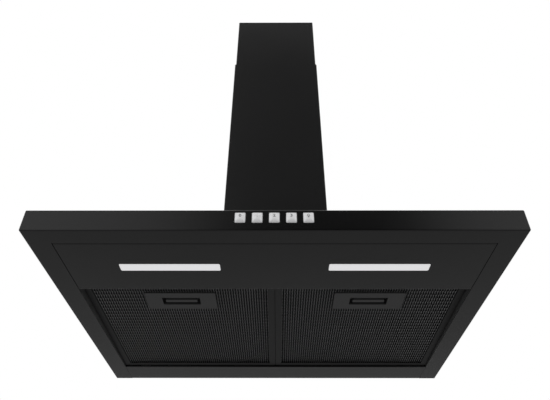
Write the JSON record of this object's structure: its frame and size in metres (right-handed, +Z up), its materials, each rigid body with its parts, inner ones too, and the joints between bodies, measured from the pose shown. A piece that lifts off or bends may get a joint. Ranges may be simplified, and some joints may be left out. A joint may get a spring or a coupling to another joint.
{
  "type": "chimney range hood",
  "caption": "Wall-mounted T-shaped chimney range hood with push buttons, grease filters, strip lamps, fan, duct collar and telescopic chimney.",
  "frame": {"origin": "centre of the four wall holes, on the wall's face", "axes": "+X to the right seen from the front, +Y into the wall, +Z up"},
  "size_m": [0.6, 0.4872, 0.894],
  "materials": {
    "black_powder": "satin black powder coat",
    "zinc_steel": "zinc-coated sheet",
    "filter_black": "satin black",
    "filter_mesh": "dark anodised mesh",
    "black_plastic": "fine-grained black",
    "button_silver": "silver",
    "lamp_frosted": "frosted diffuser",
    "white_plastic": "white",
    "circuit_board": "white board",
    "black_rubber": "matte",
    "bright_steel": "bright zinc",
    "motor_grey": "grey"
  },
  "bodies": {
    "root": {"bay_wall_left": "zinc_steel", "bay_wall_right": "zinc_steel", "blower_box": "zinc_steel", "blower_box_front": "zinc_steel", "blower_box_screws": "bright_steel", "blower_box_top": "zinc_steel", "cable_grommet": "black_rubber", "canopy_shell": "black_powder", "capacitor": "motor_grey", "collar_screws": "bright_steel", "cover_feet": "zinc_steel", "cover_guides": "black_plastic", "electrical_box": "black_plastic", "electrical_box_lid": "black_plastic", "flap_pins": "bright_steel", "lamp_driver": "white_plastic", "lamp_housing_left": "white_plastic", "lamp_housing_right": "white_plastic", "lamp_panel": "black_powder", "lamp_window_left": "lamp_frosted", "lamp_window_right": "lamp_frosted", "led_board_left": "circuit_board", "led_board_right": "circuit_board", "lower_cover": "black_powder", "motor": "motor_grey", "motor_bracket": "zinc_steel", "outlet_collar": "black_plastic", "rear_panel": "black_powder", "rear_rail": "black_powder", "switch_bracket": "zinc_steel", "switch_housing": "black_plastic", "terminal_block": "white_plastic", "volute_left": "black_plastic", "volute_right": "black_plastic", "volute_screws": "bright_steel"},
    "filter_left": {"filter_frame_left": "filter_black", "filter_mesh_left": "filter_mesh", "filter_handle_left": "black_plastic", "handle_cover_left": "black_plastic", "latch_spring_left": "bright_steel"},
    "latch_left": {"filter_latch_left": "black_plastic"},
    "flap_left": {"flap_left": "black_plastic"},
    "filter_right": {"filter_frame_right": "filter_black", "filter_mesh_right": "filter_mesh", "filter_handle_right": "black_plastic", "handle_cover_right": "black_plastic", "latch_spring_right": "bright_steel"},
    "latch_right": {"filter_latch_right": "black_plastic"},
    "flap_right": {"flap_right": "black_plastic"},
    "button_1": {"button_1": "button_silver"},
    "button_2": {"button_2": "button_silver"},
    "button_3": {"button_3": "button_silver"},
    "button_4": {"button_4": "button_silver"},
    "button_5": {"button_5": "button_silver"},
    "fan": {"fan_wheel": "zinc_steel", "motor_shaft": "bright_steel"},
    "upper_chimney": {"upper_cover": "black_powder", "upper_bracket": "zinc_steel", "cover_screws": "bright_steel"}
  },
  "joints": [
    {"name": "button_1_press", "type": "slide", "parent": "root", "child": "button_1", "axis": [0, 1, 0], "range_m": [0, 0.003], "stiffness_N_per_m": 400, "springref_m": -0.002},
    {"name": "button_2_press", "type": "slide", "parent": "root", "child": "button_2", "axis": [0, 1, 0], "range_m": [0, 0.003], "stiffness_N_per_m": 400, "springref_m": -0.002},
    {"name": "button_3_press", "type": "slide", "parent": "root", "child": "button_3", "axis": [0, 1, 0], "range_m": [0, 0.003], "stiffness_N_per_m": 400, "springref_m": -0.002},
    {"name": "button_4_press", "type": "slide", "parent": "root", "child": "button_4", "axis": [0, 1, 0], "range_m": [0, 0.003], "stiffness_N_per_m": 400, "springref_m": -0.002},
    {"name": "button_5_press", "type": "slide", "parent": "root", "child": "button_5", "axis": [0, 1, 0], "range_m": [0, 0.003], "stiffness_N_per_m": 400, "springref_m": -0.002},
    {"name": "filter_left_swing", "type": "hinge", "parent": "root", "child": "filter_left", "pos_m": [0, -0.0568, -0.152], "axis": [1, 0, 0], "range_deg": [0, 70]},
    {"name": "latch_left_slide", "type": "slide", "parent": "filter_left", "child": "latch_left", "axis": [0, 0.9997, -0.0228], "range_m": [-0.003, 0.003], "stiffness_N_per_m": 300, "springref_m": -0.006, "deforming": ["latch_spring_left"]},
    {"name": "filter_right_swing", "type": "hinge", "parent": "root", "child": "filter_right", "pos_m": [0, -0.0568, -0.152], "axis": [1, 0, 0], "range_deg": [0, 70]},
    {"name": "latch_right_slide", "type": "slide", "parent": "filter_right", "child": "latch_right", "axis": [0, 0.9997, -0.0228], "range_m": [-0.003, 0.003], "stiffness_N_per_m": 300, "springref_m": -0.006, "deforming": ["latch_spring_right"]},
    {"name": "fan_spin", "type": "hinge", "parent": "root", "child": "fan", "pos_m": [0, -0.0785, -0.033], "axis": [1, 0, 0], "continuous": true},
    {"name": "flap_left_swing", "type": "hinge", "parent": "root", "child": "flap_left", "pos_m": [-0.0045, -0.0825, 0.114], "axis": [0, 1, 0], "range_deg": [0, 80]},
    {"name": "flap_right_swing", "type": "hinge", "parent": "root", "child": "flap_right", "pos_m": [0.0045, -0.0825, 0.114], "axis": [0, -1, 0], "range_deg": [0, 80]},
    {"name": "upper_chimney_slide", "type": "slide", "parent": "root", "child": "upper_chimney", "axis": [0, 0, 1], "range_m": [-0.16, 0.16]}
  ]
}
